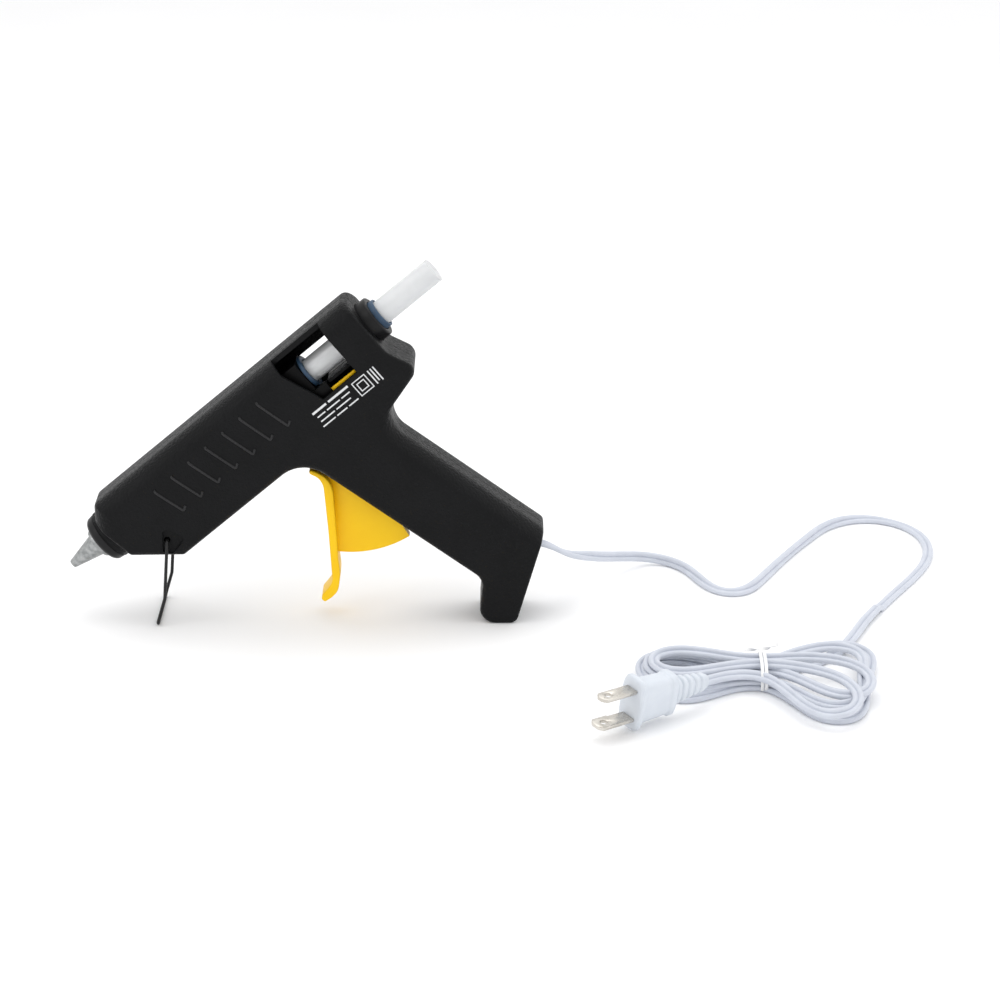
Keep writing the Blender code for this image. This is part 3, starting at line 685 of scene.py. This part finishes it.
RIB_PITCH = 10.2
RIB_COUNT = 7
RIB_TOP = (117.0, 5.6)
RIB_FOOT = (121.0, -9.6)
RIB_HOOK = (123.0, -8.4)
RIB_LAST_SHORTER = 1.6
RIB_RADIUS = 0.55


def side_ribs(name, side):
    """Row of thin slanted ribs with hooked feet, moulded on the flat side."""
    ribs = []
    for number in range(RIB_COUNT):
        back = -RIB_PITCH * number
        drop = RIB_LAST_SHORTER * number / (RIB_COUNT - 1)
        route = [
            Vector((RIB_TOP[0] + back + 0.5, 0, RIB_TOP[1] - drop + 1.2)),
            Vector((RIB_TOP[0] + back, 0, RIB_TOP[1] - drop)),
            Vector((RIB_FOOT[0] + back - 0.6, 0, RIB_FOOT[1] + 1.4)),
            Vector((RIB_FOOT[0] + back, 0, RIB_FOOT[1])),
            Vector((RIB_HOOK[0] + back, 0, RIB_HOOK[1])),
        ]
        route = evenly(smooth_path(route, 6), 0.6)
        ribs.append(tube(route, RIB_RADIUS))
    whole = merged(ribs)
    whole.transform(Matrix.Translation((0, side * (HALF_WIDTH - 0.1), 0)))
    # The ribs take the lighter ABS copy, a painted highlight along their raised edges.
    add(name, whole, RIB_PAINTED_HIGHLIGHT, "housing", smooth=60)


# Height of each printed row, half its thickness, and the spans of its bars.
MARKING_ROWS = (
    (-12.7, 0.5, (132.4, 140.2), (141.4, 152.6)),
    (-15.2, 0.3, (133.2, 137.6), (138.6, 145.9), (146.9, 151.6)),
    (-17.6, 0.3, (133.2, 141.0), (142.0, 150.2)),
    (-20.0, 0.3, (132.4, 139.4), (140.4, 146.2), (147.2, 152.6)),
)
MARKING_SQUARE = (158.0, -16.6)
MARKING_COLUMN = 163.6
MARKING_COLUMN_PITCH = 1.5
INK_DEPTH = 0.06


def ink_bar(x, z):
    """One printed bar from its (low, high) spans."""
    return box(x, (-INK_DEPTH / 2, INK_DEPTH / 2), z)


def marking():
    """Plain bars and a double square in thin white ink, with nothing to read."""
    lines = []
    for height, half, *spans in MARKING_ROWS:
        lines += [ink_bar(span, (height - half, height + half)) for span in spans]
    for half in (3.7, 2.1):
        lines += square_outline(*MARKING_SQUARE, half, 0.45)
    for column in range(3):
        along = MARKING_COLUMN + MARKING_COLUMN_PITCH * column
        foot = -20.3 + 0.8 * (column % 2)
        lines.append(ink_bar((along - 0.3, along + 0.3), (foot, -12.9)))
    whole = merged(lines)
    whole.transform(Matrix.Translation((0, -HALF_WIDTH - 0.02, 0)))
    add("marking", whole, INK, "housing", smooth=0)


def square_outline(x, z, half, width):
    """Four bars round a square."""
    sides = []
    for sign in (-1, 1):
        edge = sign * (half - width / 2)
        sides.append(ink_bar((x - half, x + half), (z + edge - width / 2, z + edge + width / 2)))
        sides.append(ink_bar((x + edge - width / 2, x + edge + width / 2),
                             (z - half + width, z + half - width)))
    return sides


# ---------------------------------------------------------------- barrel parts

def barrel_parts():
    """Nose, nozzle, stick, the collar at the back, carriage, spring and rails."""
    add("nose_ring_fine", turned(rounded((
        (17.8, 8.0), (17.8, 10.2), (19.0, 11.2), (22.1, 11.6), (22.1, 9.8), (30.0, 9.8),
        (30.0, 8.6), (21.0, 8.6), (21.0, 8.0),
    ), 0.5, closed=True)), BLACK, "housing", replaces=["nose_ring"])
    add("nozzle_fine", turned(rounded((
        (0.0, 0.8), (0.0, 1.9), (15.0, 5.35), (15.4, 7.0), (17.6, 7.0), (17.6, 4.4), (30.5, 4.4),
        (30.5, 2.7), (20.0, 2.7), (18.5, 0.8),
    ), 0.3, closed=True)), ALUMINIUM, "housing", replaces=["nozzle"])
    add("glue_stick_fine", turned(rounded((
        (58.0, 0), (58.0, 5.6), (212.3, 5.6), (212.3, 0),
    ), 0.35), 128), GLUE, "glue_stick", replaces=["glue_stick"])
    add("rear_collar_fine", turned(rounded((
        (166.0, 7.3), (166.0, 9.8), (180.4, 9.8), (180.4, 7.3),
    ), 0.8, closed=True)), BLACK, "housing", replaces=["rear_collar"])
    # Blue-grey ring inside the rear collar: painted reflection and shade in place of the collar's
    # own bluish inner surface.
    add("collar_painted_reflection_ring", turned(rounded((
        (168.0, 5.95), (168.0, 7.0), (182.6, 7.0), (182.6, 5.95),
    ), 0.3, closed=True)), BLUE_GREY_PAINTED_REFLECTION, "housing", replaces=["rear_insert"])
    add("grip_ring_fine", turned(rounded((
        (139.7, 5.9), (139.7, 8.2), (141.4, 8.2), (141.4, 5.9),
    ), 0.4, closed=True)), BLUE_GREY_PAINTED_REFLECTION, "carriage", replaces=["grip_ring"])
    carriage()
    return_spring()
    for node, side in (("feed_rail_left", -1), ("feed_rail_right", 1)):
        rail = add(f"{node}_fine", side_box(side, RAIL_LENGTH, (8.8, 10.4), RAIL_HEIGHT), YELLOW,
                   "carriage", replaces=[node])
        bevel(rail, 0.6, 3)


def carriage():
    """Block that grips the stick, with the fork that the trigger pulls and the rails' shoes."""
    # The carriage takes the darker nylon copy, painted shade for where it sits inside the body.
    block = add("carriage_fine", box(*CARRIAGE), CARRIAGE_PAINTED_SHADE, "carriage", replaces=["carriage"])
    slot = DRIVE_PIN[0]
    tab = ((slot - 4, -8.5), (slot - 4, -15.6), (slot - 1.9, -15.6), (slot - 1.9, -10.2),
           (slot + 1.9, -10.2), (slot + 1.9, -15.6), (slot + 4, -15.6), (slot + 4, -8.5))
    carve(block, "UNION", prism(tab, -3.4, 3.4))
    carve(block, "DIFFERENCE", rod((120, 0, 0), (145, 0, 0), 6.0, 64))
    for side in (-1, 1):
        carve(block, "UNION", side_box(side, *GUIDE_SHOE))
        carve(block, "DIFFERENCE", side_box(side, *SHOE_SLOT))
    bevel(block, 0.5, 3)


def return_spring():
    """Coil in front of the carriage, in one fixed shape; the real one closes up as the trigger is
    pulled.
    """
    low, high = SPRING_SPAN
    steps = 32
    count = SPRING_TURNS * steps
    path = [
        Vector((
            low + (high - low) * step / count,
            SPRING_RADIUS * math.cos(math.tau * step / steps),
            SPRING_RADIUS * math.sin(math.tau * step / steps),
        ))
        for step in range(count + 1)
    ]
    coil = add("return_spring_fine", tube(path, SPRING_WIRE), STEEL, "housing",
               replaces=["return_spring"])
    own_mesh(coil)


def rounded_outline(points, radius, steps=5):
    """Closed outline with its corners eased."""
    return rounded(points, radius, steps, closed=True)


def trigger():
    """Plate with its hooked toe, the fan web behind it, hub and drive arms."""
    plate = add("trigger_fine", prism(rounded_outline(TRIGGER_PLATE, 4.0), -7.2, 7.2), YELLOW,
                "trigger", replaces=["trigger"])
    bevel(plate, 0.7, 3, 50)
    centre = Vector(TRIGGER_PIVOT)
    arc = [
        centre + WEB_RADIUS * Vector((math.cos(angle), math.sin(angle)))
        for angle in (math.radians(-138 + 40.5 * step / 24) for step in range(25))
    ]
    outline = [Vector((114.0, -41.5)), Vector((111.5, -47.0)), *arc, centre]
    web = add("trigger_web", prism(outline, -2.6, 2.6), YELLOW, "trigger")
    carve(web, "UNION", across(-6.4, 6.4, TRIGGER_PIVOT, 5.0, 1, 48))
    reach = Vector(DRIVE_PIN) - centre
    beside = Vector((-reach.y, reach.x)).normalized() * 3.2
    tip = Vector(DRIVE_PIN) + reach.normalized() * 2.4
    arm = [centre - beside, tip - beside, tip + beside, centre + beside]
    for side in (-1, 1):
        carve(web, "UNION", prism(arm, *side_span(side, 3.9, 6.2)))
    carve(web, "DIFFERENCE", across(-8, 8, TRIGGER_PIVOT, 2.3, 1, 48))
    carve(web, "DIFFERENCE", across(-8, 8, DRIVE_PIN, 1.8, 1))
    bevel(web, 0.35, 2, 50)


def stand():
    """Bent wire foot, its corners as round as a wire bender leaves them."""
    pivot = BARREL @ (Vector((STAND_PIVOT[0], 0, STAND_PIVOT[1])) * MM) / MM
    half = [
        pivot + Vector((0, 9.5, 0)), pivot + Vector((0, STAND_LEG_Y - 1.2, 0)),
        pivot + Vector((0, STAND_LEG_Y - 0.3, -0.4)), pivot + Vector((0, STAND_LEG_Y, -1.6)),
        STAND_KNEE, STAND_FOOT + Vector((0.25, -0.1, 1.6)), STAND_FOOT + Vector((0, -0.7, 0.4)),
        STAND_FOOT + Vector((0, -1.9, 0)),
    ]
    mirrored = [Vector((point.x, -point.y, point.z)) for point in reversed(half)]
    path = relaxed(evenly([*half, *mirrored], 0.5), 3)
    add("wire_stand_fine", tube(path, STAND_WIRE, 16), BLACK_WIRE, "stand", WORLD,
        replaces=["wire_stand"])


SCREW_PROFILE = (
    (0, 0), (0, 0.6, 0), (0.8, 1.25), (20.9, 1.25), (20.9, 2.8), (21.6, 2.8), (22.4, 2.2), (22.7, 0),
)
SCREW_TIP_Y = -8.0
# The two arms of a cross recess: half length along x and z, and the depth of the floor.
RECESS_ARMS = ((1.5, 0.3, 13.7), (0.3, 1.5, 13.75))


def screws():
    """Five pan-head screws with cross recesses, driven in from the right."""
    for number, (x, z) in enumerate(SCREW_SPOTS, 1):
        screw = turned(rounded(SCREW_PROFILE, 0.4), 48)
        screw.transform(
            Matrix.Translation((x, SCREW_TIP_Y, z)) @ Matrix.Rotation(math.pi / 2, 4, "Z")
        )
        piece = add(f"body_screw_{number}_fine", screw, STEEL, "housing",
                    replaces=[f"body_screw_{number}"])
        turn = Matrix.Translation((x, 0, z)) @ Matrix.Rotation(0.5 + 0.9 * number, 4, "Y")
        for long_x, long_z, floor in RECESS_ARMS:
            arm = box((-long_x, long_x), (floor, 15.5), (-long_z, long_z))
            arm.transform(turn)
            carve(piece, "DIFFERENCE", arm)


# ---------------------------------------------------------------- cord and plug

def cord_profile():
    """Twin flat cord: two round cores side by side with a groove between them."""
    centre = CORD_WIDTH / 2 - CORD_CORE
    right = [
        (centre + CORD_CORE * math.cos(math.radians(angle)),
         CORD_CORE * math.sin(math.radians(angle)))
        for angle in range(-144, 145, 24)
    ]
    left = [(-x, -z) for x, z in right]
    groove = 0.35 * CORD_CORE
    return [*right, (0, groove), *left, (0, -groove)]


def cord_roll(travelled, along):
    """How far the flat cord is rolled at a point of its path."""
    if travelled >= HANK_FROM:
        eased = min((travelled - HANK_FROM) / HANK_EASE, 1)
        return math.radians(HANK_LEAN) * eased * along.x
    for (start, first), (end, second) in zip(CORD_ROLLS, CORD_ROLLS[1:]):
        if travelled <= end:
            t = (travelled - start) / (end - start)
            return math.radians(first + (second - first) * t * t * (3 - 2 * t))
    return 0.0


def lay_cord():
    """The cord's path with its roll at each point, none of it below the floor."""
    turns = [point for turn in HANK_TURNS for point in turn]
    route = smooth_path([*CORD_FREE, *HANK_START, *turns, *CORD_TO_PLUG])
    path = evenly(relaxed(evenly(route, 1.0), 35), CORD_SPACING)
    rolls = []
    for index, point in enumerate(path):
        along = (path[min(index + 1, len(path) - 1)] - path[max(index - 1, 0)]).normalized()
        roll = cord_roll(index * CORD_SPACING, along)
        resting = CORD_CORE + (CORD_WIDTH / 2 - CORD_CORE) * abs(math.sin(roll))
        if index * CORD_SPACING < HANK_FROM:
            point.z -= CORD_WIDTH / 2 - resting
        point.z = max(point.z, resting)
        rolls.append(roll)
    return path, rolls


def cord_parts():
    """The cord, with the tie and the plug that go with it."""
    path, rolls = lay_cord()
    cord = add("cord", swept(path, cord_profile(), rolls), CORD_PVC, "housing", WORLD,
               replaces=["power_cord", "cord_hank"])
    with_pieces = [tie(), *plug()]


def tie_band(offset):
    """One turn of the tie, a closed band round the waist of the hank."""
    corners = [
        (TIE_FRONT, TIE_LOW), (TIE_BACK, TIE_LOW), (TIE_BACK, TIE_HIGH - 1.2),
        (TIE_BACK - 4, TIE_HIGH), (TIE_FRONT + 6, TIE_HIGH - 0.6), (TIE_FRONT, TIE_HIGH - 4),
    ]
    loop = [Vector((TIE_X + offset, y, z)) for y, z in rounded_outline(corners, 3.0, 6)]
    band = bmesh.new()
    rings = []
    for index, point in enumerate(loop):
        along = (loop[(index + 1) % len(loop)] - loop[index - 1]).normalized()
        out = along.cross(Vector((1, 0, 0)))
        rings.append([
            band.verts.new(point + Vector((x, 0, 0)) + out * depth)
            for x, depth in TIE_BAND_SECTION
        ])
    for first, second in zip(rings, [*rings[1:], rings[0]]):
        for index in range(len(first)):
            after = (index + 1) % len(first)
            band.faces.new((first[index], first[after], second[after], second[index]))
    return band


def tie_tail():
    """The twisted end of the tie."""
    path = evenly([
        Vector((TIE_X - 7.5, TIE_BACK - 0.4, TIE_HIGH - 0.2)),
        Vector((TIE_X - 2, TIE_BACK - 0.6, TIE_HIGH + 0.1)),
        Vector((TIE_X + 2.5, TIE_BACK - 0.4, TIE_HIGH + 0.5)),
        Vector((TIE_X + 7.0, TIE_BACK + 0.4, TIE_HIGH + 2.2)),
    ], 0.4)
    return swept(path, TIE_TAIL_SECTION, [TIE_TAIL_TWIST * index for index in range(len(path))])


def tie():
    """Paper-covered wire tie: two turns round the waist of the hank and a twisted end."""
    shapes = [tie_band(-TIE_TURN_OFFSET), tie_band(TIE_TURN_OFFSET), tie_tail()]
    return add("cord_tie_fine", merged(shapes), TIE_PAPER, "housing", WORLD,
               replaces=["cord_tie"])


def section(x, width, height, power, segments=48):
    """Superellipse across the plug."""
    points = []
    for step in range(segments):
        angle = math.tau * (step + 0.5) / segments
        across_part, up = math.cos(angle), math.sin(angle)
        points.append((
            x,
            width / 2 * math.copysign(abs(across_part) ** (2 / power), across_part),
            height / 2 * math.copysign(abs(up) ** (2 / power), up),
        ))
    return points


def plug_body():
    """Moulded plug with a flange at each end of its body and a ribbed strain relief."""
    stations = [*PLUG_STATIONS]
    for rib in range(RELIEF_RIBS):
        start = RELIEF_FROM + RELIEF_PITCH * rib
        shrink = RELIEF_TAPER ** rib
        for step, swell in RELIEF_RIB:
            stations.append((start + step, 8.6 * shrink * swell, 12.4 * shrink * swell, 2.8))
    stations += PLUG_END
    return add("plug_body_fine", loft([section(*station) for station in stations]), PLUG_PVC,
               "housing", PLUG, smooth=50, replaces=["plug_body"])


def plug_blade(name, middle, base, tip):
    """Flat blade with a hole through it; base and tip are its widths."""
    outline = [
        (-0.2, -base / 2, 0), (-8.5, -base / 2), (-8.9, -tip / 2),
        (1.6 - BLADE_LENGTH, -tip / 2), (-BLADE_LENGTH, -tip / 2 + 2.0),
        (-BLADE_LENGTH, tip / 2 - 2.0), (1.6 - BLADE_LENGTH, tip / 2), (-0.2, tip / 2, 0),
    ]
    shape = prism(rounded_outline(outline, 0.5, 3), -BLADE_THICKNESS / 2, BLADE_THICKNESS / 2)
    shape.transform(Matrix.Translation((0, 0, middle)) @ Matrix.Rotation(math.pi / 2, 4, "X"))
    blade = add(f"plug_blade_{name}_fine", shape, NICKEL, "housing", PLUG,
                replaces=[f"plug_blade_{name}"])
    hole = rod((BLADE_HOLE, 0, middle - 2), (BLADE_HOLE, 0, middle + 2), 1.6)
    carve(blade, "DIFFERENCE", hole, PLUG)
    bevel(blade, 0.2)
    return blade


def plug():
    """The plug's body and its two blades, the wide one stepped."""
    return [
        plug_body(),
        plug_blade("narrow", BLADE_SPACING / 2, 6.35, 6.35),
        plug_blade("wide", -BLADE_SPACING / 2, 6.35, 7.9),
    ]


# ---------------------------------------------------------------- kept pieces

KEPT = (
    (ALUMINIUM, ("melt_chamber",)),
    (STEEL, ("valve_spring", "valve_ball", "heater_clip", "sleeve_clamp", "trigger_pin",
              "drive_pin", "clamp_screw_1", "clamp_screw_2")),
    (CERAMIC, ("heater_element",)),
    (BLUE_GREY_PAINTED_REFLECTION, ("inlet_sleeve",)),
    (BLACK, ("cord_grommet", "cord_clamp")),
    (PLUG_PVC, ("splice_line", "splice_neutral")),
    (CORD_PVC, ("lead_line", "lead_neutral")),
)


def dress_kept_nodes():
    """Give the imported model's own pieces that stay in view their skins."""
    for skin, names in KEPT:
        for name in names:
            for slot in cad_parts[name].material_slots:
                slot.material = skin


# ---------------------------------------------------------------- studio

AIM = (0.0862, 0.0, 0.0531)
DISTANCE = 1.45
ELEVATION = math.radians(19.5)
FOCAL_LENGTH = 117.3
SENSOR = 36
WORLD_STRENGTH = 0.98
LAMP_AIM = Vector((0.08, 0, 0.05))
# Name, place, size and power of each lamp.
LAMPS = (
    ("top", (0.05, 0.25, 1.1), (1.4, 0.8), 4.5),
    ("left", (-1.1, -0.7, 0.8), (0.8, 0.8), 2.5),
    ("right", (1.2, -0.4, 0.7), (0.7, 0.9), 2),
)


def camera():
    """Fixed camera in front of the gun and a little above it."""
    lens = bpy.data.cameras.new("view")
    lens.lens = FOCAL_LENGTH
    lens.sensor_width = SENSOR
    view = bpy.data.objects.new("view", lens)
    view.location = (
        AIM[0], AIM[1] - DISTANCE * math.cos(ELEVATION), AIM[2] + DISTANCE * math.sin(ELEVATION)
    )
    view.rotation_euler = (math.pi / 2 - ELEVATION, 0, 0)
    bpy.context.scene.collection.objects.link(view)
    bpy.context.scene.camera = view


def soft_light(name, place, size, power):
    """Rectangular area light aimed at the middle of the gun."""
    lamp = bpy.data.lights.new(name, "AREA")
    lamp.shape = "RECTANGLE"
    lamp.size, lamp.size_y = size
    lamp.energy = power
    holder = bpy.data.objects.new(name, lamp)
    holder.location = place
    aim = LAMP_AIM - holder.location
    holder.rotation_euler = aim.to_track_quat("-Z", "Y").to_euler()
    bpy.context.scene.collection.objects.link(holder)


def studio():
    """White paper floor, even white surroundings and the lamps."""
    floor = bpy.data.meshes.new("floor")
    floor.from_pydata([(-6, -6, 0), (6, -6, 0), (6, 6, 0), (-6, 6, 0)], [], [(0, 1, 2, 3)])
    floor.materials.append(surface("paper_floor", (0.93, 0.93, 0.935), (0.95, 0.95, 0.955),
                                   (0.75, 0.85), mottle=3, grain=300, bump=0.02))
    sheet = bpy.data.objects.new("floor", floor)
    bpy.context.scene.collection.objects.link(sheet)
    sky = bpy.data.worlds.new("studio")
    sky.use_nodes = True
    sky.node_tree.nodes["Background"].inputs["Color"].default_value = (1, 1, 1, 1)
    sky.node_tree.nodes["Background"].inputs["Strength"].default_value = WORLD_STRENGTH
    bpy.context.scene.world = sky
    bpy.context.scene.view_settings.view_transform = "Standard"
    for lamp in LAMPS:
        soft_light(*lamp)


camera()
cord_parts()
studio()
housing("housing_left_shell", -1)
housing("housing_right_shell", 1)
side_ribs("side_ribs_left", -1)
side_ribs("side_ribs_right", 1)
marking()
barrel_parts()
trigger()
stand()
screws()
dress_kept_nodes()
